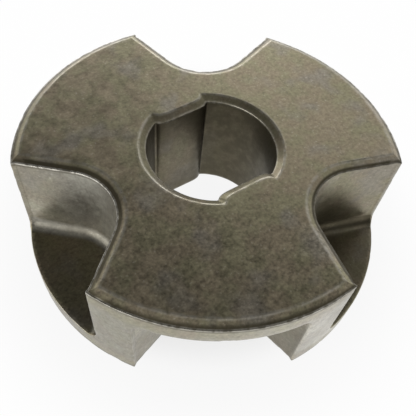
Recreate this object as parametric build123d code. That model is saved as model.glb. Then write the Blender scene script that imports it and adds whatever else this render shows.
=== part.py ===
from build123d import *
from math import cos, radians, sin, sqrt
import os

# Six-tooth drive sprocket of a chain saw, pressed and sintered in one piece.
# The bore's axis is Z, the lower face lies on z = 0 and the flats of the bore run along X.
# Every gap between two teeth is a pocket, open through one face and closed by a flange at the other,
# and the open side changes from gap to gap. All lengths are in millimetres and angles in degrees.

# Blank
outer_diameter = 30.0
overall_height = 10.2
rim_bevel_width = 0.6
rim_bevel_height = 0.35
rim_land = 0.1

# Chain gaps
gap_count = 6
flange_thickness = 2.0
gap_centre_radius = 12.9
gap_root_radius = 4.1
gap_flank_angle = 41.5
gap_tip_land = 0.4
gap_floor_fillet = 0.9

# Double-D bore, given by the shaft that it slides on
shaft_diameter = 10.0
shaft_across_flats = 8.0
shaft_clearance = 0.1
flat_length = 4.1
flat_end_angle = 45.0
bore_bevel_width = 0.6
bore_bevel_height = 0.35

# How far the cutting shapes run past the faces that they open
overrun = 0.5

outer_radius = outer_diameter / 2
bore_radius = (shaft_diameter + shaft_clearance) / 2
flat_distance = (shaft_across_flats + shaft_clearance) / 2
gap_pitch_angle = 360.0 / gap_count


def unit(angle):
    """Unit vector in the XY plane at an angle from +X."""
    return Vector(cos(radians(angle)), sin(radians(angle)))


def run_to_radius(start, direction, radius):
    """Point where a line from start meets the circle of that radius about the axis."""
    along = start.dot(direction)
    return start + direction * (sqrt(along**2 - start.dot(start) + radius**2) - along)


def grown_corner(corner, first_normal, second_normal, growth):
    """Corner of two lines once both have moved out by growth along their normals."""
    return corner + (first_normal + second_normal) * (growth / (1 + first_normal.dot(second_normal)))


def mirrored(point):
    """The same point on the other side of the X axis."""
    return Vector(point.X, -point.Y)


def turned_blank():
    """The disc before its gaps: a small land and a shallow bevel run round both rims."""
    bevel_start = outer_radius - rim_land
    face_radius = bevel_start - rim_bevel_width
    upper_land = overall_height - rim_bevel_height
    section = Polyline(
        (0, 0),
        (face_radius, 0),
        (bevel_start, rim_bevel_height),
        (outer_radius, rim_bevel_height),
        (outer_radius, upper_land),
        (bevel_start, upper_land),
        (face_radius, overall_height),
        (0, overall_height),
        close=True,
    )
    return revolve(Plane.XZ * make_face(section), Axis.Z)


def gap_face(growth):
    """Plan of the gap along +X, grown all round: a round root, straight flanks and a short radial land."""
    root_radius = gap_root_radius + growth
    mouth_radius = outer_radius + overrun
    flank = unit(gap_flank_angle)
    flank_normal = unit(gap_flank_angle + 90)
    gap_centre = Vector(gap_centre_radius, 0)
    flank_end = run_to_radius(gap_centre + flank_normal * gap_root_radius, flank, outer_radius - gap_tip_land)
    land = flank_end.normalized()
    land_normal = Vector(-land.Y, land.X)
    flank_start = gap_centre + flank_normal * root_radius
    land_start = grown_corner(flank_end, flank_normal, land_normal, growth)
    land_end = run_to_radius(land_start, land, mouth_radius)
    root = ThreePointArc(mirrored(flank_start), (gap_centre_radius - root_radius, 0), flank_start)
    upper_side = Polyline(flank_start, land_start, land_end)
    mouth = ThreePointArc(land_end, (mouth_radius, 0), mirrored(land_end))
    lower_side = Polyline(mirrored(land_end), mirrored(land_start), mirrored(flank_start))
    return make_face(root + upper_side + mouth + lower_side)


def bore_face(growth):
    """Plan of the bore, grown all round: a circle with two short flats whose ends slope back to it."""
    wall_radius = bore_radius + growth
    end_slope = unit(flat_end_angle)
    end_normal = unit(flat_end_angle + 90)
    flat_end = grown_corner(Vector(flat_length / 2, flat_distance), Vector(0, 1), end_normal, growth)
    wall_end = run_to_radius(flat_end, end_slope, wall_radius)
    outline = Curve()
    for turn in (0, 180):
        wall = ThreePointArc(mirrored(wall_end), (wall_radius, 0), wall_end)
        flat = Polyline(wall_end, flat_end, Vector(-flat_end.X, flat_end.Y), Vector(-wall_end.X, wall_end.Y))
        outline += Rot(0, 0, turn) * (wall + flat)
    return make_face(outline)


def flared_mouth(plan, land, width, height):
    """Bevelled mouth of a cut at the upper face, run on past it: plan gives the cut's outline for a growth."""
    foot = overall_height - height
    steepness = width / height
    top = overall_height + overrun
    return loft(
        [Pos(0, 0, foot) * plan(land), Pos(0, 0, top) * plan(land + steepness * (top - foot))],
        ruled=True,
    )


def gap_cutter():
    """Pocket of the gap along +X, open through the upper face, with a fillet round its floor."""
    depth = overall_height + overrun - flange_thickness
    pocket = Pos(0, 0, flange_thickness) * extrude(gap_face(0), depth)
    floor_edges = pocket.edges().group_by(Axis.Z)[0].sort_by(Axis.X)[:-1]
    pocket = fillet(floor_edges, gap_floor_fillet)
    return pocket + flared_mouth(gap_face, rim_land, rim_bevel_width, rim_bevel_height)


def turned_over(shape):
    """The same shape with the two faces of the sprocket exchanged, about the X axis at half height."""
    return Pos(0, 0, overall_height) * Rot(180, 0, 0) * shape


def bore_cutter():
    """The bore right through both faces, with a bevelled mouth at each end."""
    barrel = Pos(0, 0, -overrun) * extrude(bore_face(0), overall_height + 2 * overrun)
    mouth = flared_mouth(bore_face, 0, bore_bevel_width, bore_bevel_height)
    return barrel + mouth + turned_over(mouth)


def sprocket():
    """The finished sprocket: every other gap opens upwards and the rest downwards."""
    upper_gap = gap_cutter()
    lower_gap = turned_over(upper_gap)
    gaps = [Rot(0, 0, k * gap_pitch_angle) * (upper_gap if k % 2 else lower_gap) for k in range(gap_count)]
    return turned_blank() - gaps - bore_cutter()


os.makedirs("parts", exist_ok=True)
part = sprocket()
part.label = "sprocket"
export_step(part, "parts/sprocket.step")
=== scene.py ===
import math

import bmesh
import bpy
import numpy as np
from mathutils import Matrix, Vector, kdtree, noise
from mathutils.geometry import delaunay_2d_cdt


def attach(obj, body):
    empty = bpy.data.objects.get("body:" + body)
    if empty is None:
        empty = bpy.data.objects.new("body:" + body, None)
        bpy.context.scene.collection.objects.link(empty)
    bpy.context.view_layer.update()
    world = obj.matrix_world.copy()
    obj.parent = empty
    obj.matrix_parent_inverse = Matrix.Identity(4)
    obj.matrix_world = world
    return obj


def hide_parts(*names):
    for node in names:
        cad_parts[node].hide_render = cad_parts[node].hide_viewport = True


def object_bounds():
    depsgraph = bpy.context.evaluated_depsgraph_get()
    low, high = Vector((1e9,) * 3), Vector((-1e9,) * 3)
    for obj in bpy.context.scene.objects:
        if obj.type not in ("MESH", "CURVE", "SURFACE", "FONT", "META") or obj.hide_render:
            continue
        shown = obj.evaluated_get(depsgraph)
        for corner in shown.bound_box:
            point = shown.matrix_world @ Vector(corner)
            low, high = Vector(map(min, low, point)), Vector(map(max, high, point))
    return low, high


bl_info = {
    "name": "Chain saw sprocket",
    "version": (1, 0, 0),
    "blender": (4, 5, 0),
    "location": "3D View > Sidebar > Sprocket",
    "description": "Builds the worn sintered sprocket on its CAD frame, and a plain studio round it",
    "category": "Add Mesh",
}

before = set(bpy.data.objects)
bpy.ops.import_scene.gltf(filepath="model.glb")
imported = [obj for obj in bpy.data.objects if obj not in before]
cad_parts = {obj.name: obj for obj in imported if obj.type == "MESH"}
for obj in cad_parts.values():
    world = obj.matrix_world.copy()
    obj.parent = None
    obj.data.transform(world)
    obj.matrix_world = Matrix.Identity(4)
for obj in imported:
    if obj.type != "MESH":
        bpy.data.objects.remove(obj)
cad_low, cad_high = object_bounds()

MM = 1000.0  # millimetres in a metre
NODE = "sprocket"
BODY = "root"

# Bearings in plan, in radians. Three gaps open through the upper face, the three between them downwards.
GAP_PITCH = math.radians(60)
UPPER_GAPS = [math.radians(60 + 120 * k) for k in range(3)]
# The gap at this bearing holds a patch of painted shade.
SHADE_PATCH_BEARING = math.radians(307)
SHEEN_BEARING = math.radians(285)  # side of the rim with the painted sheen
FRONT_BEARING = math.radians(230)  # the lobe with painted shade
SHADE_BEARING = math.radians(150)  # way that the darker walls face

# Form and mesh, in millimetres where no other unit is given
FILLET_SLOPE = 0.3  # how far the worn fillets have flattened towards a straight slope
FILLET_STEPS = 8
CORNER_STEPS = 4
TIP_STEPS = 3
SECTION_STEP = 0.7  # mesh steps that a run along a section takes
WALL_DROP = 0.25  # from the foot of the bevels down to the patches of the walls
FACE_BORDER = 0.35  # band of the face along the rim's bevel
BORE_BORDER = 0.3  # band of the face along the bore's bevel
LAND_ROUNDING = 0.025
BORE_ROUNDING = 0.08
LEAST_ROUNDING = 0.03
LEAST_TIP = 0.15  # shortest run of the mesh at the end of a flank
TIP_MARGIN = 0.06  # a tip land shorter than this is left out
PAD_ROUNDING = 0.34
PAD_BLEND = 0.15  # rounding where a pad of the bore leaves the round wall
PAD_STRETCH = 2.2  # how much longer the rounding is on the pad than on its end
PAD_STEPS = (3, 2, 6)  # of the blend, the slope and the rounding
PAD_MIDDLE = 0.7  # level part of a pad's half length
RIM_SOFTNESS = 0.5  # share of the edge rounding that the rim's edge has
BORE_SOFTNESS = 0.7  # share of the face rounding that the bore's bevel has
GRID_MARGIN = 0.62  # mesh steps from a patch's border to its first inner points
HAIR = 1e-4  # share of its distance from the middle by which every other point stands out
MERGE_DISTANCE = 1e-7  # of points while a patch is filled
WELD_DISTANCE = 4e-7  # of the patches' borders, in metres

# Wear that presses in, as noise of (size in millimetres, offset, weight)
WAVES = ((2.4, 3.7, 0.6), (0.9, 11.3, 0.4))
NICKS = ((0.55, 27.1, 0.7), (1.7, 41.9, 0.6))
NICK_START = 0.12
NICK_SPAN = 0.6
NICK_REACH = 0.16  # millimetres from a sharp edge

# Painted shade in one patch in a gap: place and spread as shares of the gap's sizes, and height in
# millimetres
SHADE_PATCH_PLACE = 0.85
SHADE_PATCH_HEIGHT = 3.4
SHADE_PATCH_SPREAD = 1.12

# How much painted shade lies in each place, 1 hiding the metal
DEEP_SHADE = 0.95  # in the bore, round the gaps' mouths and in the shade patch
BORE_BEVEL_SHADE = 0.52
FLOOR_SHADE = 0.66
FILLET_SHADE = 1.08
FILLET_LIT = 0.68  # painted shade taken off the fillets where light reaches
RIM_SHADE = 0.12
WALL_SHADE = 0.15
WALL_UNLIT = 0.9  # how much more painted shade the walls get where light reaches least
SHADE_GRIME = 0.62
FRONT_SHADE_AMOUNT = 0.2
PAD_LIGHTER = 0.3  # how much less painted shade the bore's pads get
PAD_MOUTH_LOSS = 0.2  # part of that lost near the mouths
PAD_SIDE_LOSS = 0.8  # share of it lost on one end of each pad

# How much of the film is gone from upright metal, and how much is kept
GAP_FILM_LOSS = 0.45
RIM_FILM_LOSS = 0.15
ROOT_FILM_LOSS = 0.35
FILLET_FILM_LOSS = 0.8
BAND_FILM = 0.35  # kept on the rim, along the flanges
SHELTERED_FILM = 1.1

# Light reach, which sets how strong the painted highlights and shade are, and painted sheen, in shares of
# 1
SHELTERED_GAPS = ((math.radians(300), 0.8), (math.radians(60), 0.45))  # bearing, and light reach lost there
SHELTER_REACH = (2.0, 1.45)  # as shares of the gap's root radius
GAP_SHEEN = 0.28  # painted sheen in the gaps, against 1 on the rim
LEAST_HOLLOW = 0.45  # width of the painted dark line at a bevel's foot where no light reaches
FRONT_HIGHLIGHT_LOSS = 0.45  # light reach, and with it the painted highlight, lost on the front lobe

# Ranges over which wear eases in. By how level the skin lies, 1 being flat:
UPRIGHT = (0.7, 0.2)
STEEP_SLOPE = (0.6, 0.75)
SHALLOW_SLOPE = (0.99, 0.92)
FLAT = (0.8, 0.99)
# By how far a point lies to one side, 1 being the rim there:
SHEEN_SIDE = (0.1, 1.0)
FRONT_SHADE_SIDE = (0.0, 0.75)
SHADED_SIDE = (0.5, 0.65)
FRONT_SIDE = (0.7, 0.95)
SHADED_WALL = (0.4, 0.85)  # by how far a wall faces that way
# By millimetres from the axis:
SHEEN_RADIUS = (13.0, 10.5)
ROOT_RADIUS = (13.5, 10.5)
# In from the rim:
RIM_BAND = (0.4, 0.1)
FILM_RIM = (0.3, 0.1)
MOUTH_BAND = (0.6, 1.1)
RIM_MARGIN = 0.15
# Above the floor of a gap:
NEAR_FLOOR = (0.4, 0.1)
OFF_FLOOR = (0.02, 0.15)
WALL_RISE = (2.0, 5.0)
SHADE_RISE = (0.8, 2.5)
SHEEN_RISE = (4.5, 2.5)
# Beyond the top of a fillet, the flange or the end of a pad:
FILLET_TOP = (0.1, -0.1)
FILM_FILLET = (0.3, -0.1)
FLANGE_BAND = (0.2, -0.8)
FLANGE_MARGIN = 0.1
PAD_END = (0.6, 0.35)
# Below a face, along a pad, and from the crown of the teeth as (where no light reaches, more where it
# does):
PAD_MOUTH = (4.0, 0.6)
PAD_SIDE = (0.5, 1.9)
MOUTH_REACH = ((0.36, 0.24), (0.22, 0.18))

# Noise in the finish: size in metres, detail and roughness, and shifts in metres that keep them apart
CLOUDS = (0.0034, 2.0)
STAINS = (0.0019, 3.0, 0.55)
MOTTLE = (0.0009, 3.0, 0.6)
BREAKS = (0.00045, 2.0)
STAIN_SHIFT = 0.031
MOTTLE_SHIFT = 0.057
DUST_SHIFT = 0.083
GRAIN_TEXTURE = (2.0, 0.55)  # its size is a setting
DUST_SIZE = 0.5  # as a share of the grain
DUST_DETAIL = 1.0
MOTTLE_SPECKLE = 0.35
DUST_SPECKLE = 0.6
GRAIN_RELIEF = 0.7
DUST_RELIEF = 0.3
ROUGHNESS_SPREAD = 0.06
HIGHLIGHT_SHINE = 0.08

# Spans of the finish: a value's range, and what it turns into there when that isn't 0 to 1
OLIVE_SPAN = (0.38, 0.62)
GREY_SPAN = (0.52, 0.7, 0.0, 0.85)
SPECKLE_RANGE = (0.55, 1.4)
FILM_SPECKLE = (0.0, 1.0, 0.36, 0.6)
STEEL_SPECKLE = (0.7, 1.3)
STEEL_STAIN = (0.32, 0.68, 0.86, 1.12)
PORE_SPAN = (0.64, 0.8, 0.0, 0.4)
FLECK_SPAN = (0.66, 0.8, 0.0, 0.35)
SHADE_MOTTLE = (0.3, 0.6, 0.92, 1.0)
ROUGH_MOTTLE = (0.3, 0.7)
BROKEN_SPAN = (0.36, 0.58, 0.3, 1.0)
# The same by millimetres from each kind of edge:
HOLLOW_SPAN = (0.46, 0.11, 0.0, 0.88)
KNEE_SPAN = (0.13, 0.05, 0.0, 0.34)
CROWN_SPAN = (0.19, 0.06)
LIP_SPAN = (0.09, 0.02, 0.0, 0.45)
SOFT_SPAN = (0.23, 0.03, 0.0, 0.36)

# Softboxes of the studio: setting, then azimuth, elevation, width and height in degrees
SOFTBOXES = (
    ("window", 120, 37, 44, 30),
    ("rear", 155, 20, 46, 18),
    ("front", -85, 19, 54, 32),
    ("side", 55, 44, 36, 30),
    ("top", -18, 62, 44, 24),
)
SOFTBOX_DISTANCE = 0.25  # metres from the sprocket's centre
SENSOR_WIDTH = 36.0  # millimetres
CLIP_RANGE = (0.001, 10.0)  # metres
ROOM_FADE = (0.14, 0.42)  # heights in the room, 1 being overhead
FLOOR_HALF = 1.0  # metres, as all that follow
FLOOR_DROP = 1e-5
FLOOR_WHITE = (0.013, 0.024, 0.9, 0.99)  # distances from the middle, and the whiteness there
RING_START = (0.006, 0.008)
RING_END = (0.0145, 0.0115)
RING_SHADE = 0.12  # whiteness lost in the ring under the teeth
WHITE = (1.0, 1.0, 1.0, 1.0)


def length(name, description, default):
    """A length in metres for the panel."""
    return bpy.props.FloatProperty(
        name=name, description=description, default=default, min=0.0, unit="LENGTH", precision=6
    )


def angle(name, description, degrees):
    """An angle for the panel, given in degrees and kept in radians."""
    return bpy.props.FloatProperty(
        name=name, description=description, default=math.radians(degrees), subtype="ANGLE"
    )


def colour(name, description, red, green, blue):
    """A linear colour for the panel."""
    return bpy.props.FloatVectorProperty(
        name=name,
        description=description,
        default=(red, green, blue),
        size=3,
        min=0.0,
        max=1.0,
        subtype="COLOR",
    )


def share(name, description, default):
    """A number between 0 and 1 for the panel."""
    return bpy.props.FloatProperty(
        name=name, description=description, default=default, min=0.0, max=1.0, subtype="FACTOR"
    )


def number(name, description, default):
    """A plain number for the panel."""
    return bpy.props.FloatProperty(name=name, description=description, default=default, min=0.0)


class SprocketSizes(bpy.types.PropertyGroup):
    """Sizes of the sprocket, the same as in its CAD source."""

    outer_diameter: length("Outer diameter", "Across the teeth", round(cad_high.y - cad_low.y, 4))
    height: length("Height", "From face to face", round(cad_high.z - cad_low.z, 4))
    rim_land: length("Rim land", "Flat step at the foot of the bevel", 0.0001)
    bevel_width: length("Bevel width", "How far the bevels reach across the faces", 0.0006)
    bevel_height: length("Bevel height", "How far the bevels drop from the faces", 0.00035)
    flange: length("Flange", "Thickness of the metal that closes each gap", 0.002)
    gap_centre: length("Gap centre", "From the axis to the centre of a gap's root", 0.0129)
    gap_root: length("Gap root", "Radius of the round root of a gap", 0.0041)
    gap_flank: angle("Gap flank", "Slope of a gap's flanks from its middle line", 41.5)
    tip_land: length("Tip land", "Length of the radial end of a flank", 0.0004)
    floor_fillet: length("Floor fillet", "Radius round the floor of a gap", 0.0009)
    bore_diameter: length("Bore diameter", "Round wall of the bore", 0.0101)
    bore_flats: length("Bore flats", "Across the two flats of the bore", 0.0081)
    flat_length: length("Flat length", "Length of each flat in plan", 0.0041)
    flat_ends: angle("Flat ends", "Slope of the ends of the flats", 45.0)
    edge_rounding: length("Edge rounding", "Wear on the sharp edges", 0.00012)
    face_rounding: length("Face rounding", "Softness where a bevel meets a face", 0.00012)
    mesh_step: length("Mesh step", "Length of the mesh's edges on open faces", 0.00022)
    unevenness: length("Unevenness", "Depth of the waves that pressing left in the faces", 0.000012)
    nick_depth: length("Nick depth", "Depth of the nicks along the sharp edges", 0.00006)


class SprocketFinish(bpy.types.PropertyGroup):
    """Colours and grain of the sintered steel, and the colours of its painted shade, sheen and
    highlights.
    """

    steel: colour("Steel", "Bare sintered steel of the rim and the gaps", 0.312, 0.303, 0.262)
    brown: colour("Brown film", "Film on the faces where it is brown", 0.372, 0.314, 0.217)
    olive: colour("Olive film", "Film on the faces where it is olive", 0.349, 0.321, 0.205)
    grey: colour("Grey film", "Film on the faces where it is thin", 0.348, 0.316, 0.258)
    # Painted sheen: a far lighter steel on one side of the rim and a little in the gaps, standing in for
    # reflected light.
    painted_sheen: colour("Polish", "Steel on the side of the rim that has rubbed smooth", 0.72, 0.705, 0.65)
    pore: colour("Pore", "Dark open pores", 0.13, 0.112, 0.085)
    # Painted shade: darkens the bore, the gaps, the creases at the bevels' feet and one lobe.
    painted_shade: colour("Grime", "Old oil and dust caught in hollows and in the bore", 0.073, 0.062, 0.037)
    # Painted highlight along the edges, and the colour of the grain's bright flecks.
    bright: colour("Bright edge", "Metal rubbed bright along the edges", 0.72, 0.69, 0.61)
    metal: share("Metal", "How far the steel reflects as bare metal", 0.8)
    roughness: share("Roughness", "Mean roughness of the faces", 0.36)
    grain: length("Grain", "Size of the powder's grain", 0.00032)
    grain_depth: length("Grain depth", "Relief of the grain", 0.000007)


class StudioSettings(bpy.types.PropertyGroup):
    """Camera, floor and light."""

    azimuth: angle("Azimuth", "Camera's bearing round the sprocket", -39.839)
    elevation: angle("Elevation", "Camera's height above the floor", 54.281)
    roll: angle("Roll", "Camera's turn about its own axis", 7.475)
    distance: length("Distance", "From the camera to the point it looks at", 0.043635)
    look_at: bpy.props.FloatVectorProperty(
        name="Look at",
        description="Point that the camera looks at",
        default=(-0.001281, -0.002027, 0.005156),
        size=3,
        subtype="TRANSLATION",
        unit="LENGTH",
        precision=6,
    )
    lens: number("Lens", "Focal length in millimetres on a 36 mm sensor", 46.16)
    floor: colour("Floor", "Pale floor", 0.9, 0.9, 0.9)
    window: number("Window", "Brightness of the tall softbox behind on the right, 1 being white", 0.7)
    rear: number("Rear", "Brightness of the low softbox behind", 2.4)
    front: number("Front", "Brightness of the low softbox at the front left", 2.0)
    side: number("Side", "Brightness of the softbox at the right", 0.45)
    top: number("Top", "Brightness of the softbox above", 0.4)
    horizon: number("Horizon", "Brightness of the room at the level of the floor", 1.0)
    ceiling: number("Ceiling", "Brightness of the room overhead", 0.105)


def unit(bearing):
    """Unit vector in plan at a bearing in radians."""
    return np.array((math.cos(bearing), math.sin(bearing)))


def around(radius, bearings):
    """Points in plan on a circle about the axis."""
    return radius * np.column_stack([np.cos(bearings), np.sin(bearings)])


def run_to_radius(start, direction, radius):
    """Point where a line from start meets the circle of that radius about the axis."""
    along = start @ direction
    return start + direction * (math.sqrt(along**2 - start @ start + radius**2) - along)


def line(start, end, count):
    """Points along a straight line after its start, in count equal steps."""
    part = np.linspace(0.0, 1.0, count + 1)[1:, None]
    return start + (end - start) * part


def eased(start, corner, end, count):
    """Points of a rounded corner after its start, pulled towards the corner."""
    part = np.linspace(0.0, 1.0, count + 1)[1:, None]
    return (1 - part) ** 2 * start + 2 * part * (1 - part) * corner + part**2 * end


def turned(points, bearing):
    """Points turned about the axis."""
    cosine, sine = math.cos(bearing), math.sin(bearing)
    moved = points.copy()
    moved[:, 0] = cosine * points[:, 0] - sine * points[:, 1]
    moved[:, 1] = sine * points[:, 0] + cosine * points[:, 1]
    return moved


def reflected(points):
    """Points on the other side of a gap's middle line."""
    return points * ([1, -1] if points.shape[1] == 2 else [1, -1, 1])


def lifted(points, height):
    """Plan points raised to a height."""
    return np.column_stack([points, np.full(len(points), height)])


class Skin:
    """Collects patches of one closed surface, to be welded where their borders meet."""

    def __init__(self):
        self.points = []
        self.faces = []
        self.count = 0

    def add(self, points, faces):
        self.points.append(points)
        self.faces.extend(tuple(self.count + i for i in face) for face in faces)
        self.count += len(points)

    def rows(self, rows, closed):
        """A patch of rows of points, each joined to the next."""
        wide = len(rows[0])
        faces = []
        for r in range(len(rows) - 1):
            for i in range(wide if closed else wide - 1):
                j = (i + 1) % wide
                faces.append((r * wide + i, r * wide + j, (r + 1) * wide + j, (r + 1) * wide + i))
        self.add(np.concatenate(rows), faces)


def within(points, loop):
    """Which points lie inside a closed outline."""
    x, y = points[:, 0:1], points[:, 1:2]
    x0, y0 = loop[:, 0], loop[:, 1]
    x1, y1 = np.roll(x0, -1), np.roll(y0, -1)
    rise = np.where(y1 == y0, 1.0, y1 - y0)
    crossing = ((y0 > y) != (y1 > y)) & (x < (x1 - x0) * (y - y0) / rise + x0)
    return crossing.sum(1) % 2 == 1


def distance_to(points, targets):
    """Distance from each point to the nearest of the targets."""
    tree = kdtree.KDTree(len(targets))
    for i, target in enumerate(targets):
        tree.insert(target, i)
    tree.balance()
    return np.array([tree.find(p)[2] for p in points])


def clear_of(points, loop, gap):
    """Which points in plan keep a distance from every point of an outline."""
    return distance_to(lifted(points, 0.0), lifted(loop, 0.0)) > gap


def filled(outline, holes, step):
    """Triangles of an even size inside an outline and outside its holes: (points, faces)."""
    low, high = outline.min(0), outline.max(0)
    tall = step * math.sqrt(3) / 2
    lines = []
    for r, y in enumerate(np.arange(low[1] + tall / 2, high[1], tall)):
        x = np.arange(low[0] + (step / 2 if r % 2 else 0.0), high[0], step)
        lines.append(np.column_stack([x, np.full(len(x), y)]))
    grid = np.concatenate(lines)
    grid = grid[within(grid, outline)]
    for hole in holes:
        grid = grid[~within(grid, hole)]
    loops = [outline, *holes]
    for loop in loops:
        grid = grid[clear_of(grid, loop, step * GRID_MARGIN)]
    points = np.concatenate([*loops, grid])
    # Every other point stands out by a hair, because points in one line would make empty triangles.
    middle = points.mean(0)
    apart = middle + (points - middle) * (1 + HAIR * (np.arange(len(points)) % 2))[:, None]
    apart = apart.astype(np.float32).astype(float)
    borders = []
    edges = []
    for loop in loops:
        start, end = len(borders), len(borders) + len(loop)
        borders.extend((i, i + 1 if i + 1 < end else start) for i in range(start, end))
        edges.append(apart[start:end])
    # Its output type 1 keeps the triangles that lie inside the borders.
    found = delaunay_2d_cdt([Vector(p) for p in apart], borders, [], 1, MERGE_DISTANCE, True)
    origin = [known[0] for known in found[3]]
    faces = np.array([[origin[i] for i in face] for face in found[2]])
    middles = apart[faces].mean(1)
    kept = within(middles, edges[0])
    for hole in edges[1:]:
        kept &= ~within(middles, hole)
    return points, faces[kept]


class SprocketForm:
    """The sprocket's plan and sections in millimetres, worked out from the panel's sizes."""

    def __init__(self, sizes):
        self.radius = sizes.outer_diameter * MM / 2
        self.height = sizes.height * MM
        self.land = sizes.rim_land * MM
        self.bevel_width = sizes.bevel_width * MM
        self.bevel_height = sizes.bevel_height * MM
        self.flange = sizes.flange * MM
        self.gap_centre = sizes.gap_centre * MM
        self.gap_root = sizes.gap_root * MM
        self.fillet = sizes.floor_fillet * MM
        self.bore_radius = sizes.bore_diameter * MM / 2
        self.flat_height = sizes.bore_flats * MM / 2
        self.flat_half = sizes.flat_length * MM / 2
        self.rounding = sizes.edge_rounding * MM
        self.face_rounding = sizes.face_rounding * MM
        self.step = sizes.mesh_step * MM
        self.shade_patch = np.append(self.gap_centre * SHADE_PATCH_PLACE * unit(SHADE_PATCH_BEARING), SHADE_PATCH_HEIGHT)
        self.shade_patch_size = SHADE_PATCH_SPREAD * self.gap_root
        self.flank_bearing = sizes.gap_flank
        self.flank = unit(self.flank_bearing)
        self.flank_normal = unit(self.flank_bearing + math.pi / 2)
        tangent = np.array((self.gap_centre, 0.0)) + self.flank_normal * self.gap_root
        self.knee = run_to_radius(tangent, self.flank, self.radius - sizes.tip_land * MM)
        self.tip = self.knee / np.linalg.norm(self.knee)
        self.tip_normal = np.array((-self.tip[1], self.tip[0]))
        self.flat_end_slope = unit(sizes.flat_ends)
        self.flat_end_normal = unit(sizes.flat_ends + math.pi / 2)
        self.bevel_foot = self.height - self.bevel_height
        self.root_steps = self.cuts(self.gap_root * (math.pi / 2 - self.flank_bearing))
        self.flank_steps = self.cuts(np.linalg.norm(self.knee - tangent))
        lobe = GAP_PITCH - math.atan2(self.knee[1], self.knee[0])
        self.lobe_steps = 2 * self.cuts(lobe * self.radius)
        self.bore_steps = self.cuts(self.bore_radius * math.acos(self.flat_half / self.bore_radius))

    def cuts(self, size):
        """How many mesh steps a length is cut into."""
        return max(1, round(size / self.step))

    def gap_side(self, growth, inset):
        """Half of a gap's plan from its root towards the rim, the sharp corner there and its rounding."""
        root_radius = self.gap_root + growth
        rounding = max(self.rounding - max(inset, 0.0), LEAST_ROUNDING)
        bearings = np.linspace(math.pi, self.flank_bearing + math.pi / 2, self.root_steps + 1)
        root = around(root_radius, bearings) + [self.gap_centre, 0.0]
        rim = self.radius - inset
        reach = growth / (1 + self.flank_normal @ self.tip_normal)
        knee = self.knee + (self.flank_normal + self.tip_normal) * reach
        if np.linalg.norm(knee) < rim - TIP_MARGIN:
            corner = run_to_radius(knee, self.tip, rim)
            heading = self.tip
            bare = LEAST_TIP - np.linalg.norm(corner - knee)
            split = knee - self.flank * max(0.0, bare)
        else:
            corner = run_to_radius(root[-1], self.flank, rim)
            heading = self.flank
            split = corner - self.flank * LEAST_TIP
        stop = corner - heading * rounding
        flank = line(root[-1], split, self.flank_steps)
        return np.concatenate([root, flank, line(split, stop, TIP_STEPS)]), corner, rounding

    def outline(self, inset):
        """Closed outline of the open face's side, moved into the metal all round."""
        side, corner, rounding = self.gap_side(inset, inset)
        far = np.linalg.norm(corner)
        rim = far * unit(math.atan2(corner[1], corner[0]) + rounding / far)
        half = np.concatenate([side, eased(side[-1], corner, rim, CORNER_STEPS)])
        start = math.atan2(rim[1], rim[0])
        sweep = 2 * (GAP_PITCH - start)
        bearings = start + sweep * np.arange(1, self.lobe_steps) / self.lobe_steps
        arc = around(np.linalg.norm(rim), bearings)
        sector = np.concatenate([reflected(half)[:0:-1], half, arc])
        return np.concatenate([turned(sector, bearing) for bearing in UPPER_GAPS])

    def bore(self, growth):
        """Closed plan of the bore, grown into the metal all round."""
        radius = self.bore_radius + growth
        reach = growth / (1 + self.flat_end_normal[1])
        outward = np.array((0.0, 1.0)) + self.flat_end_normal
        flat_end = np.array((self.flat_half, self.flat_height)) + outward * reach
        wall_end = run_to_radius(flat_end, self.flat_end_slope, radius)
        sweep = math.atan2(wall_end[1], wall_end[0])
        bearings = np.linspace(0.0, sweep, self.bore_steps + 1)
        bearings[-1] -= PAD_BLEND / radius
        arc = around(radius, bearings)
        slope_start = wall_end - self.flat_end_slope * PAD_BLEND
        slope_end = flat_end + self.flat_end_slope * PAD_ROUNDING
        flat_start = flat_end - [PAD_STRETCH * PAD_ROUNDING, 0.0]
        flat_middle = np.array((0.0, flat_end[1]))
        blend_steps, slope_steps, round_steps = PAD_STEPS
        quarter = np.concatenate(
            [
                arc,
                eased(arc[-1], wall_end, slope_start, blend_steps),
                line(slope_start, slope_end, slope_steps),
                eased(slope_end, flat_end, flat_start, round_steps),
                line(flat_start, flat_middle, self.cuts(self.flat_half * PAD_MIDDLE)),
            ]
        )
        half = np.concatenate([quarter, quarter[-2:0:-1] * [-1, 1]])
        return np.concatenate([half, -half])

    def section(self, *corners):
        """Section line through corners of (inset, height, rounding), cut into short runs."""
        points = [np.array(corners[0][:2])]

        def run_on(end):
            size = np.linalg.norm(end - points[-1])
            points.extend(line(points[-1], end, max(1, round(size / (self.step * SECTION_STEP)))))

        for before, here, after in zip(corners, corners[1:], corners[2:]):
            middle = np.array(here[:2])
            back = np.array(before[:2]) - middle
            ahead = np.array(after[:2]) - middle
            run_on(middle + back / np.linalg.norm(back) * here[2])
            end = middle + ahead / np.linalg.norm(ahead) * here[2]
            points.extend(eased(points[-1], middle, end, CORNER_STEPS))
        run_on(np.array(corners[-1][:2]))
        return points

    def rim_section(self):
        """Section of the rim, from the wall over the land and bevel on to the face."""
        bevel_end = self.land + self.bevel_width
        return self.section(
            (0.0, self.bevel_foot - WALL_DROP, 0.0),
            (0.0, self.bevel_foot, self.rounding * RIM_SOFTNESS),
            (self.land, self.bevel_foot, LAND_ROUNDING),
            (bevel_end, self.height, self.face_rounding),
            (bevel_end + FACE_BORDER, self.height, 0.0),
        )

    def bore_section(self):
        """Section of the bore's mouth, from the wall over the bevel on to the face."""
        return self.section(
            (0.0, self.bevel_foot - WALL_DROP, 0.0),
            (0.0, self.bevel_foot, BORE_ROUNDING),
            (self.bevel_width, self.height, self.face_rounding * BORE_SOFTNESS),
            (self.bevel_width + BORE_BORDER, self.height, 0.0),
        )

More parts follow.
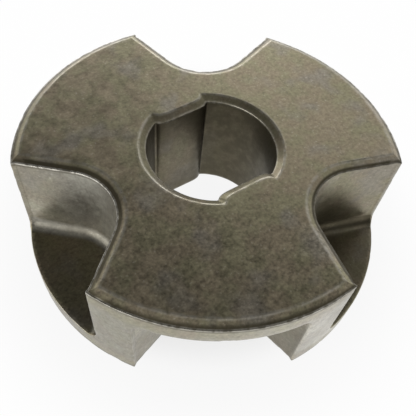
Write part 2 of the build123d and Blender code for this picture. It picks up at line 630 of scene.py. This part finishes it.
    def pocket(self):
        """Patches of the gap along +X: walls with the fillet, rounded edge at the rim, and floor.

        With them come the edge's outer line, which is left for the rim, and its sharp line.
        """
        top = self.bevel_foot - WALL_DROP
        floor = self.flange
        fillet_top = floor + self.fillet
        levels = [(0.0, z, 0.0) for z in np.linspace(top, fillet_top, self.cuts(top - fillet_top) + 1)]
        for tilt in np.linspace(0.0, math.pi / 2, FILLET_STEPS + 1)[1:]:
            along = tilt / (math.pi / 2)
            shift = (1 - math.cos(tilt)) * (1 - FILLET_SLOPE) + along * FILLET_SLOPE
            rise = (1 - math.sin(tilt)) * (1 - FILLET_SLOPE) + (1 - along) * FILLET_SLOPE
            levels.append((self.fillet * shift, floor + self.fillet * rise, tilt))
        walls, edge = [], []
        for shift, z, tilt in levels:
            side, corner, _ = self.gap_side(-shift, 0.0)
            walls.append(lifted(np.concatenate([reflected(side)[:0:-1], side]), z))
            out = np.append(-self.tip_normal * math.cos(tilt), math.sin(tilt))
            sharp = np.append(corner, z)
            edge.append((np.append(side[-1], z), sharp, self.on_rim(sharp - out * self.rounding)))
        last = edge[-1][1]
        sweep = math.atan2(last[1], last[0])
        count = self.cuts(sweep * self.radius)
        for bearing in np.linspace(sweep, 0.0, count + 1)[1:]:
            spoke = np.append(unit(bearing), 0.0)
            sharp = spoke * self.radius + [0.0, 0.0, floor]
            edge.append((sharp - spoke * self.rounding, sharp, sharp - [0.0, 0.0, self.rounding]))
        rounded = [np.concatenate([[a], eased(a, b, c, CORNER_STEPS)]) for a, b, c in edge]
        rounded += [reflected(row) for row in rounded[-2::-1]]
        floor_rim = [row[0] for row in rounded[len(levels) : -len(levels)]]
        floor_loop = np.concatenate([walls[-1], floor_rim])
        points, faces = filled(floor_loop[:, :2], [], self.step)
        sharp_line = np.array([sharp for _, sharp, _ in edge])
        outer_line = np.array([outer for _, _, outer in edge[::-1]])
        return walls, rounded, (lifted(points, floor), faces), outer_line, sharp_line

    def on_rim(self, point):
        """A point near the rim, moved on to it."""
        scale = self.radius / math.hypot(point[0], point[1])
        return point * [scale, scale, 1.0]

    def rim_patch(self, edge):
        """Rim between two lobes of the upper face, round the gap along +X: (points, faces).

        It is filled as a flat strip and rolled up.
        """
        bearings = np.arctan2(edge[:, 1], edge[:, 0])
        rest = np.linspace(bearings[-1], GAP_PITCH, self.lobe_steps // 2 + 1)[1:]
        top = edge[-1, 2]
        half = np.column_stack(
            [np.append(bearings, rest) * self.radius, np.append(edge[:, 2], np.full(len(rest), top))]
        )
        far = GAP_PITCH * self.radius
        upper = np.concatenate([half[:0:-1] * [-1, 1], half])
        lower = np.column_stack([far - half[:, 0], self.height - half[:, 1]])
        lower = np.concatenate([lower, lower[-2::-1] * [-1, 1]])
        bottom = lower[0, 1]
        seam = np.linspace(top, bottom, self.cuts(top - bottom) + 1)[1:-1]
        right = np.column_stack([np.full(len(seam), far), seam])
        left = right[::-1] * [-1, 1]
        points, faces = filled(np.concatenate([upper, right, lower, left]), [], self.step)
        rolled = around(self.radius, points[:, 0] / self.radius)
        return np.column_stack([rolled, points[:, 1]]), faces


def turned_over(points, height):
    """Points with the two faces of the sprocket exchanged, about the line at half height along Y."""
    return points * [-1, 1, -1] + [0.0, 0.0, height]


def build_skin(form):
    """The whole surface of the sprocket as patches, with points along each kind of edge."""
    skin = Skin()
    rim_rows = [lifted(form.outline(d), z) for d, z in form.rim_section()]
    bore_rows = [lifted(form.bore(d), z) for d, z in form.bore_section()]
    face, face_triangles = filled(rim_rows[-1][:, :2], [bore_rows[-1][:, :2]], form.step)
    face = lifted(face, form.height)
    walls, rounded, (floor, floor_triangles), edge, lip = form.pocket()
    rim, rim_triangles = form.rim_patch(edge)
    for side in (lambda p: p, lambda p: turned_over(p, form.height)):
        skin.rows([side(row) for row in rim_rows], True)
        skin.rows([side(row) for row in bore_rows], True)
        skin.add(side(face), face_triangles)
        for bearing in UPPER_GAPS:
            skin.rows([side(turned(row, bearing)) for row in walls], False)
            skin.rows([side(turned(row, bearing)) for row in rounded], False)
            skin.add(side(turned(floor, bearing)), floor_triangles)
    for bearing in UPPER_GAPS:
        skin.add(turned(rim, bearing), rim_triangles)
    top = bore_rows[0][0, 2]
    levels = np.linspace(top, form.height - top, form.cuts(2 * top - form.height) + 1)
    skin.rows([lifted(bore_rows[0][:, :2], z) for z in levels], True)
    return skin, edge_lines(form, lip, len(levels))


def edge_lines(form, lip, count):
    """Points along each kind of edge: the teeth's crown, the gaps' lip, soft edges, hollows and knees."""
    knee = lifted(np.repeat(form.knee[None, :], count, 0), 0.0)
    knee[:, 2] = np.linspace(form.bevel_foot, form.flange + form.fillet, count)
    lines = {
        "crown": [lifted(form.outline(0.0), form.bevel_foot)],
        "lip": [],
        "soft": [
            lifted(form.outline(form.land + form.bevel_width), form.height),
            lifted(form.bore(form.bevel_width), form.height),
            lifted(form.bore(0.0), form.bevel_foot),
        ],
        "hollow": [lifted(form.outline(form.land), form.bevel_foot)],
        "knee": [],
    }
    for name, half in (("lip", lip), ("knee", knee)):
        for bearing in UPPER_GAPS:
            lines[name] += [turned(half, bearing), turned(reflected(half), bearing)]
    for name, found in lines.items():
        points = np.concatenate(found)
        lines[name] = np.concatenate([points, turned_over(points, form.height)])
    return lines


def ripple(points, layers):
    """Smooth noise at each point, summed from layers of (size in millimetres, offset, weight)."""
    return sum(
        np.array([noise.noise(Vector(p / size + offset)) for p in points]) * weight
        for size, offset, weight in layers
    )


def ramp(values, low, high):
    """Values eased from 0 at low to 1 at high."""
    part = np.clip((values - low) / (high - low), 0.0, 1.0)
    return part * part * (3 - 2 * part)


class Surface:
    """Where each point of the skin lies, in millimetres, how it faces, and the painted shade, painted
    sheen and film that follow.
    """

    def __init__(self, form, points, normals):
        x, y, z = points.T
        self.form = form
        self.points = points
        self.normals = normals
        self.radius = np.hypot(x, y)
        self.depth = np.minimum(z, form.height - z)
        self.level = np.abs(normals[:, 2])
        self.upright = ramp(self.level, *UPRIGHT)
        self.sloped = ramp(self.level, *STEEP_SLOPE) * ramp(self.level, *SHALLOW_SLOPE)
        self.in_bore = self.radius < form.bore_radius + form.bevel_width
        self.inset = form.radius - self.radius
        self.off_rim = self.inset > RIM_MARGIN
        # The gaps that open upwards lie in the odd sixths of the turn, and their floors face up.
        opens_up = np.round(np.arctan2(y, x) / GAP_PITCH).astype(int) % 2 == 1
        self.above = np.where(opens_up, z, form.height - z) - form.flange
        self.light_reach = self.light_reach_share()
        self.painted_sheen = self.painted_sheen_share()

    def towards(self, bearing):
        """How far each point lies to one side, 1 being the rim there."""
        return self.points[:, :2] @ unit(bearing) / self.form.radius

    def light_reach_share(self):
        """How far light reaches, which sets the painted highlights and shade: less round two gaps, and
        least round the one with the shade patch.
        """
        light_reach = np.ones(len(self.points))
        far, near = SHELTER_REACH
        for bearing, loss in SHELTERED_GAPS:
            away = np.hypot(*(self.points[:, :2] - self.form.gap_centre * unit(bearing)).T)
            light_reach -= loss * ramp(away, far * self.form.gap_root, near * self.form.gap_root)
        return light_reach

    def painted_sheen_share(self):
        """Painted sheen on the bare steel: on one side of the rim, and a little on upright metal low in
        the gaps and towards their roots.
        """
        rim = ramp(self.inset, *RIM_BAND)
        side = ramp(self.towards(SHEEN_BEARING), *SHEEN_SIDE)
        low_sheen = np.maximum(ramp(self.radius, *SHEEN_RADIUS), ramp(self.above, *SHEEN_RISE)) * self.light_reach
        return self.upright * (rim * side**2 + GAP_SHEEN * (1 - rim) * low_sheen)

    def front_shade_share(self):
        """Painted shade on the faces: most on one lobe."""
        return self.level * ~self.in_bore * ramp(self.towards(FRONT_BEARING), *FRONT_SHADE_SIDE)

    def film_share(self):
        """How much brown film is left: all on the faces and in the bore, less on upright metal."""
        form = self.form
        rim = ramp(self.inset, *FILM_RIM)
        root = ramp(self.radius, *ROOT_RADIUS) * (1 - rim)
        fillet = ramp(self.above - form.fillet, *FILM_FILLET)
        fillet *= (self.above > OFF_FLOOR[0]) * ~self.in_bore * (1 - rim)
        band = rim * ramp(self.depth - form.flange, *FLANGE_BAND)
        loss = GAP_FILM_LOSS + RIM_FILM_LOSS * rim - BAND_FILM * band + ROOT_FILM_LOSS * root
        kept = np.minimum(1 - self.upright * ~self.in_bore * loss, 1 - FILLET_FILM_LOSS * fillet)
        return np.maximum(kept, SHELTERED_FILM * (1 - self.light_reach) * (1 - rim))

    def bore_shade(self):
        """Painted shade in the bore: dark on the wall, lighter on its pads and bevels."""
        x, y, _ = self.points.T
        pad = ramp(np.abs(x) - self.form.flat_half, *PAD_END)
        pad_light = pad * (PAD_LIGHTER - PAD_MOUTH_LOSS * ramp(self.depth, *PAD_MOUTH))
        pad_light *= 1 - PAD_SIDE_LOSS * ramp(x * np.sign(y), *PAD_SIDE)
        wall = self.upright * (DEEP_SHADE - pad_light)
        return np.maximum(wall, BORE_BEVEL_SHADE * self.sloped) * self.in_bore

    def mouth_shade(self, crown):
        """Painted shade on the bevels round the gaps' mouths, by the distance from the crown of the
        teeth.
        """
        far, near = (least + more * self.light_reach for least, more in MOUTH_REACH)
        inner = ramp(self.inset, *MOUTH_BAND) * ~self.in_bore
        return DEEP_SHADE * self.sloped * ramp(crown, far, near) * inner

    def gap_shade(self):
        """Painted shade on the floors, fillets and walls of the gaps, on the rim and in one patch in a
        gap.
        """
        form = self.form
        above = np.abs(self.above)
        floor = FLOOR_SHADE * ramp(self.level, *FLAT) * ramp(above, *NEAR_FLOOR) * self.off_rim
        away = ((self.points - form.shade_patch) ** 2).sum(1) / form.shade_patch_size**2
        shade_patch = DEEP_SHADE * np.exp(-away) * (self.depth > form.bevel_height)
        fillet = ramp(above - form.fillet, *FILLET_TOP) * ramp(above, *OFF_FLOOR)
        fillet *= self.off_rim * ~self.in_bore * (self.depth > form.flange - FLANGE_MARGIN)
        fillet *= FILLET_SHADE - FILLET_LIT * self.light_reach
        rim = RIM_SHADE * self.upright * ramp(self.inset, *RIM_BAND) * (1 - self.painted_sheen)
        wall = WALL_SHADE * self.upright * ramp(above, *WALL_RISE) * ~self.in_bore
        wall *= 1 + WALL_UNLIT * (1 - self.light_reach)
        facing = self.normals[:, :2] @ unit(SHADE_BEARING)
        shaded = SHADE_GRIME * self.upright * ramp(facing, *SHADED_WALL) * ramp(above, *SHADE_RISE)
        shaded *= self.off_rim * ramp(self.towards(FRONT_BEARING), *SHADED_SIDE)
        return np.maximum.reduce([floor, shade_patch, fillet, rim, wall, shaded])


def weather(mesh, form, lines, sizes):
    """Moves the skin in where it is uneven or nicked, and keeps on it what the finish needs."""
    flat = np.empty(len(mesh.vertices) * 3, np.float32)
    mesh.vertices.foreach_get("co", flat)
    points = flat.reshape(-1, 3).astype(float) * MM
    mesh.vertices.foreach_get("normal", flat)
    normals = flat.reshape(-1, 3).astype(float)
    surface = Surface(form, points, normals)
    kept = {"edge_" + name: distance_to(points, found) for name, found in lines.items()}
    # The painted dark line at the bevels' foot is wider where light reaches less.
    kept["edge_hollow"] /= LEAST_HOLLOW + (1 - LEAST_HOLLOW) * surface.light_reach
    # Painted shade, painted sheen, light reach and the front lobe's shade are kept as attributes for the
    # material.
    mouth = surface.mouth_shade(kept["edge_crown"])
    kept["painted_shade"] = np.maximum.reduce([surface.bore_shade(), mouth, surface.gap_shade()])
    kept["film"] = surface.film_share()
    kept["painted_sheen"] = surface.painted_sheen
    kept["light_reach"] = surface.light_reach * (1 - FRONT_HIGHLIGHT_LOSS * ramp(surface.towards(FRONT_BEARING), *FRONT_SIDE))
    kept["front_shade"] = surface.front_shade_share()
    sharp = np.minimum(kept["edge_crown"], kept["edge_lip"])
    depth = sizes.unevenness * MM * (0.5 - 0.5 * ripple(points, WAVES))
    nicks = np.clip(ripple(points, NICKS) - NICK_START, 0.0, NICK_SPAN) / NICK_SPAN
    depth += sizes.nick_depth * MM * nicks * np.exp(-((sharp / NICK_REACH) ** 2))
    points -= normals * depth[:, None]
    mesh.vertices.foreach_set("co", (points / MM).astype(np.float32).ravel())
    for name, values in kept.items():
        layer = mesh.attributes.new(name, "FLOAT", "POINT")
        layer.data.foreach_set("value", values.astype(np.float32))


def sprocket_mesh(sizes):
    """The sprocket's closed mesh in metres."""
    form = SprocketForm(sizes)
    skin, lines = build_skin(form)
    work = bmesh.new()
    verts = [work.verts.new(p) for p in np.concatenate(skin.points) / MM]
    for face in skin.faces:
        work.faces.new([verts[i] for i in face])
    bmesh.ops.remove_doubles(work, verts=work.verts, dist=WELD_DISTANCE)
    bmesh.ops.recalc_face_normals(work, faces=work.faces)
    if any(len(edge.link_faces) != 2 for edge in work.edges):
        raise RuntimeError("the sprocket's skin isn't closed")
    for face in work.faces:
        face.smooth = True
    mesh = bpy.data.meshes.new("sprocket_body")
    work.to_mesh(mesh)
    work.free()
    weather(mesh, form, lines, sizes)
    return mesh


class Nodes:
    """Short calls for adding and joining shader nodes on a new material or world."""

    def __init__(self, owner):
        owner.use_nodes = True
        self.tree = owner.node_tree
        self.tree.nodes.clear()

    def add(self, kind, settings=(), inputs=()):
        node = self.tree.nodes.new(kind)
        for name, value in dict(settings).items():
            setattr(node, name, value)
        for name, value in dict(inputs).items():
            self.put(node.inputs[name], value)
        return node

    def put(self, socket, value):
        if isinstance(value, bpy.types.NodeSocket):
            self.tree.links.new(value, socket)
        else:
            socket.default_value = value

    def math(self, operation, first, second=0.0):
        return self.add("ShaderNodeMath", {"operation": operation}, {0: first, 1: second}).outputs[0]

    def times(self, first, second):
        return self.math("MULTIPLY", first, second)

    def span(self, value, low, high, to_low=0.0, to_high=1.0, kind="SMOOTHSTEP"):
        """A value eased from one range to another, and held at the ends."""
        settings = {"interpolation_type": kind, "clamp": True}
        inputs = {"Value": value, "From Min": low, "From Max": high, "To Min": to_low, "To Max": to_high}
        return self.add("ShaderNodeMapRange", settings, inputs).outputs["Result"]

    def blend(self, amount, first, second):
        """One colour turned into another."""
        inputs = {"Factor": amount, "A": first, "B": second}
        return self.add("ShaderNodeMix", {"data_type": "RGBA"}, inputs).outputs["Result"]

    def scaled(self, tone, amount):
        """A colour made lighter or darker."""
        inputs = {0: tone, "Scale": amount}
        return self.add("ShaderNodeVectorMath", {"operation": "SCALE"}, inputs).outputs["Vector"]

    def noise(self, place, size, detail=2.0, rough=0.5):
        """Noise with waves of a size in metres."""
        inputs = {"Vector": place, "Scale": 1 / size, "Detail": detail, "Roughness": rough}
        return self.add("ShaderNodeTexNoise", (), inputs).outputs["Fac"]

    def shifted(self, place, step):
        """The same place moved off, so that two noises don't run together."""
        inputs = {0: place, 1: (step, step, step)}
        return self.add("ShaderNodeVectorMath", {"operation": "ADD"}, inputs).outputs["Vector"]

    def attribute(self, name):
        return self.add("ShaderNodeAttribute", {"attribute_name": name}).outputs["Fac"]


def rgba(value):
    return (*value, 1.0)


def steel_material(finish):
    """Sintered steel: fine grain, a mottled brown film, painted shade in the hollows, painted highlights
    along the edges and a painted sheen on one side of the rim.
    """
    material = bpy.data.materials.new("sintered_steel_painted_light")
    n = Nodes(material)
    place = n.add("ShaderNodeTexCoord").outputs["Object"]
    clouds = n.noise(place, *CLOUDS)
    stains = n.noise(n.shifted(place, STAIN_SHIFT), *STAINS)
    mottle = n.noise(n.shifted(place, MOTTLE_SHIFT), *MOTTLE)
    grain = n.noise(place, finish.grain, *GRAIN_TEXTURE)
    dust = n.noise(n.shifted(place, DUST_SHIFT), finish.grain * DUST_SIZE, DUST_DETAIL)
    # The film is brown, olive or thin and grey in patches of a few millimetres.
    film = n.blend(n.span(stains, *OLIVE_SPAN), rgba(finish.brown), rgba(finish.olive))
    film = n.blend(n.span(clouds, *GREY_SPAN), film, rgba(finish.grey))
    # Painted sheen: the bare steel turns lighter on one side of the rim and a little in the gaps.
    bare = n.blend(n.attribute("painted_sheen"), rgba(finish.steel), rgba(finish.painted_sheen))
    speckle = n.math("ADD", n.times(mottle, MOTTLE_SPECKLE), grain)
    speckle = n.math("ADD", speckle, n.times(dust, DUST_SPECKLE))
    front_shade = n.attribute("front_shade")
    wave = n.span(speckle, *SPECKLE_RANGE, -1.0, 1.0, "LINEAR")
    wave = n.times(wave, n.span(front_shade, *FILM_SPECKLE))
    film = n.scaled(film, n.math("ADD", wave, 1.0))
    bare = n.scaled(bare, n.span(speckle, *SPECKLE_RANGE, *STEEL_SPECKLE, "LINEAR"))
    bare = n.scaled(bare, n.span(stains, *STEEL_STAIN))
    body = n.blend(n.attribute("film"), bare, film)
    body = n.blend(n.span(grain, *PORE_SPAN), body, rgba(finish.pore))
    body = n.blend(n.span(dust, *FLECK_SPAN), body, rgba(finish.bright))
    # Painted shade darkens the bore, the floors, fillets and walls of the gaps, the creases at the foot
    # of the bevels and the knees, and one lobe.
    hollow = n.span(n.attribute("edge_hollow"), *HOLLOW_SPAN)
    knee = n.span(n.attribute("edge_knee"), *KNEE_SPAN)
    darkened = n.math("MAXIMUM", n.attribute("painted_shade"), n.math("MAXIMUM", hollow, knee))
    darkened = n.math("MAXIMUM", darkened, n.times(front_shade, FRONT_SHADE_AMOUNT))
    darkened = n.times(darkened, n.span(mottle, *SHADE_MOTTLE))
    body = n.blend(darkened, body, rgba(finish.painted_shade))
    # Painted highlights: along the crown of the teeth, weaker where light reaches less, and fainter along
    # the gaps' lips and the soft edges.
    broken = n.span(n.noise(place, *BREAKS), *BROKEN_SPAN)
    highlighted = n.times(n.span(n.attribute("edge_crown"), *CROWN_SPAN), broken)
    highlighted = n.times(highlighted, n.attribute("light_reach"))
    lip = n.span(n.attribute("edge_lip"), *LIP_SPAN)
    soft = n.span(n.attribute("edge_soft"), *SOFT_SPAN)
    # The lips and soft edges get a painted highlight too.
    worn = n.times(n.math("MAXIMUM", lip, soft), broken)
    highlighted = n.math("MAXIMUM", highlighted, worn)
    body = n.blend(highlighted, body, rgba(finish.bright))
    smooth, coarse = finish.roughness - ROUGHNESS_SPREAD, finish.roughness + ROUGHNESS_SPREAD
    rough = n.span(mottle, *ROUGH_MOTTLE, smooth, coarse)
    rough = n.math("SUBTRACT", rough, n.times(highlighted, HIGHLIGHT_SHINE))
    relief = n.times(dust, DUST_RELIEF)
    relief = n.math("ADD", n.times(grain, GRAIN_RELIEF), relief)
    bump = n.add("ShaderNodeBump", (), {"Distance": finish.grain_depth, "Height": relief})
    normal = bump.outputs["Normal"]
    inputs = {"Base Color": body, "Metallic": finish.metal, "Roughness": rough, "Normal": normal}
    shader = n.add("ShaderNodeBsdfPrincipled", (), inputs)
    n.add("ShaderNodeOutputMaterial", (), {"Surface": shader.outputs["BSDF"]})
    return material


class SPROCKET_OT_body(bpy.types.Operator):
    """Build the sprocket's worn steel body in place of the plain CAD solid"""

    bl_idname = "sprocket.body"
    bl_label = "Sprocket body"

    def execute(self, context):
        scene = context.scene
        body = bpy.data.objects.new("sprocket_body", sprocket_mesh(scene.sprocket_sizes))
        body.data.materials.append(steel_material(scene.sprocket_finish))
        scene.collection.objects.link(body)
        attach(body, BODY)
        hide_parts(NODE)
        return {"FINISHED"}


def floor_material(studio):
    """Pale floor that the camera and reflections see as white, with the sprocket's shadow close to it."""
    material = bpy.data.materials.new("pale_floor")
    n = Nodes(material)
    rays = n.add("ShaderNodeLightPath").outputs
    mirrored = n.math("MAXIMUM", rays["Is Glossy Ray"], rays["Is Transmission Ray"])
    seen = n.math("MAXIMUM", rays["Is Camera Ray"], mirrored)
    place = n.add("ShaderNodeTexCoord").outputs["Object"]
    away = n.add("ShaderNodeVectorMath", {"operation": "LENGTH"}, {0: place}).outputs["Value"]
    ring = n.times(n.span(away, *RING_START), n.span(away, *RING_END))
    whiteness = n.math("SUBTRACT", n.span(away, *FLOOR_WHITE), n.times(ring, RING_SHADE))
    matt = n.add("ShaderNodeBsdfDiffuse", (), {"Color": rgba(studio.floor)})
    white = n.add("ShaderNodeEmission", (), {"Color": WHITE})
    shown = n.times(seen, whiteness)
    mix = n.add("ShaderNodeMixShader", (), {0: shown, 1: matt.outputs[0], 2: white.outputs[0]})
    n.add("ShaderNodeOutputMaterial", (), {"Surface": mix.outputs[0]})
    return material


def room_light(studio):
    """A plain room, pale at the level of the floor and dim overhead."""
    world = bpy.data.worlds.new("studio_room")
    n = Nodes(world)
    aim = n.add("ShaderNodeSeparateXYZ", (), {"Vector": n.add("ShaderNodeTexCoord").outputs["Generated"]})
    glow = n.span(aim.outputs["Z"], *ROOM_FADE, studio.horizon, studio.ceiling)
    room = n.add("ShaderNodeBackground", (), {"Color": WHITE, "Strength": glow})
    n.add("ShaderNodeOutputWorld", (), {"Surface": room.outputs[0]})
    return world


def bearing_vector(azimuth, elevation):
    """Direction from the sprocket to a viewer, azimuth 0 being on the -Y side."""
    level = math.cos(elevation)
    return Vector((math.sin(azimuth) * level, -math.cos(azimuth) * level, math.sin(elevation)))


def softbox(name, azimuth, elevation, width, height, brightness):
    """An area lamp that faces the sprocket: angles in degrees, and brightness, 1 being white."""
    data = bpy.data.lights.new(name, "AREA")
    data.shape = "RECTANGLE"
    data.size = 2 * SOFTBOX_DISTANCE * math.tan(math.radians(width / 2))
    data.size_y = 2 * SOFTBOX_DISTANCE * math.tan(math.radians(height / 2))
    data.energy = brightness * math.pi * data.size * data.size_y
    lamp = bpy.data.objects.new(name, data)
    aim = bearing_vector(math.radians(azimuth), math.radians(elevation))
    lamp.location = (cad_low + cad_high) / 2 + aim * SOFTBOX_DISTANCE
    lamp.rotation_mode = "QUATERNION"
    lamp.rotation_quaternion = (-aim).to_track_quat("-Z", "Y")
    lamp.visible_camera = False
    bpy.context.scene.collection.objects.link(lamp)


def photo_camera(studio):
    """The camera at the photograph's viewing angle."""
    data = bpy.data.cameras.new("photo_camera")
    data.lens = studio.lens
    data.sensor_width = SENSOR_WIDTH
    data.clip_start, data.clip_end = CLIP_RANGE
    camera = bpy.data.objects.new("photo_camera", data)
    back = bearing_vector(studio.azimuth, studio.elevation)
    turn = back.to_track_quat("Z", "Y").to_matrix().to_4x4() @ Matrix.Rotation(studio.roll, 4, "Z")
    camera.matrix_world = Matrix.Translation(Vector(studio.look_at) + back * studio.distance) @ turn
    return camera


class SPROCKET_OT_stage(bpy.types.Operator):
    """Set up the floor, the lamps, the room's light and the camera"""

    bl_idname = "sprocket.stage"
    bl_label = "Studio"

    def execute(self, context):
        scene = context.scene
        studio = scene.sprocket_studio
        mesh = bpy.data.meshes.new("studio_floor")
        corners = [(x * FLOOR_HALF, y * FLOOR_HALF, 0) for x, y in ((-1, -1), (1, -1), (1, 1), (-1, 1))]
        mesh.from_pydata(corners, [], [(0, 1, 2, 3)])
        mesh.materials.append(floor_material(studio))
        floor = bpy.data.objects.new("studio_floor", mesh)
        floor.location = (0, 0, cad_low.z - FLOOR_DROP)
        scene.collection.objects.link(floor)
        for name, *angles in SOFTBOXES:
            softbox(name + "_softbox", *angles, getattr(studio, name))
        scene.world = room_light(studio)
        scene.camera = photo_camera(studio)
        scene.collection.objects.link(scene.camera)
        scene.view_settings.view_transform = "Standard"
        return {"FINISHED"}


class SPROCKET_PT_panel(bpy.types.Panel):
    """Sizes, finish and studio of the sprocket"""

    bl_idname = "SPROCKET_PT_panel"
    bl_label = "Sprocket"
    bl_space_type = "VIEW_3D"
    bl_region_type = "UI"
    bl_category = "Sprocket"

    def draw(self, context):
        for name, group in GROUPS.items():
            box = self.layout.box()
            for setting in group.__annotations__:
                box.prop(getattr(context.scene, name), setting)
        for operator in (SPROCKET_OT_body, SPROCKET_OT_stage):
            self.layout.operator(operator.bl_idname)


GROUPS = {
    "sprocket_sizes": SprocketSizes,
    "sprocket_finish": SprocketFinish,
    "sprocket_studio": StudioSettings,
}
CLASSES = (*GROUPS.values(), SPROCKET_OT_body, SPROCKET_OT_stage, SPROCKET_PT_panel)


def register():
    for part in CLASSES:
        bpy.utils.register_class(part)
    for name, group in GROUPS.items():
        setattr(bpy.types.Scene, name, bpy.props.PointerProperty(type=group))


def unregister():
    for name in GROUPS:
        delattr(bpy.types.Scene, name)
    for part in reversed(CLASSES):
        bpy.utils.unregister_class(part)


def main():
    register()
    bpy.ops.sprocket.body()
    bpy.ops.sprocket.stage()


if __name__ == "__main__":
    main()
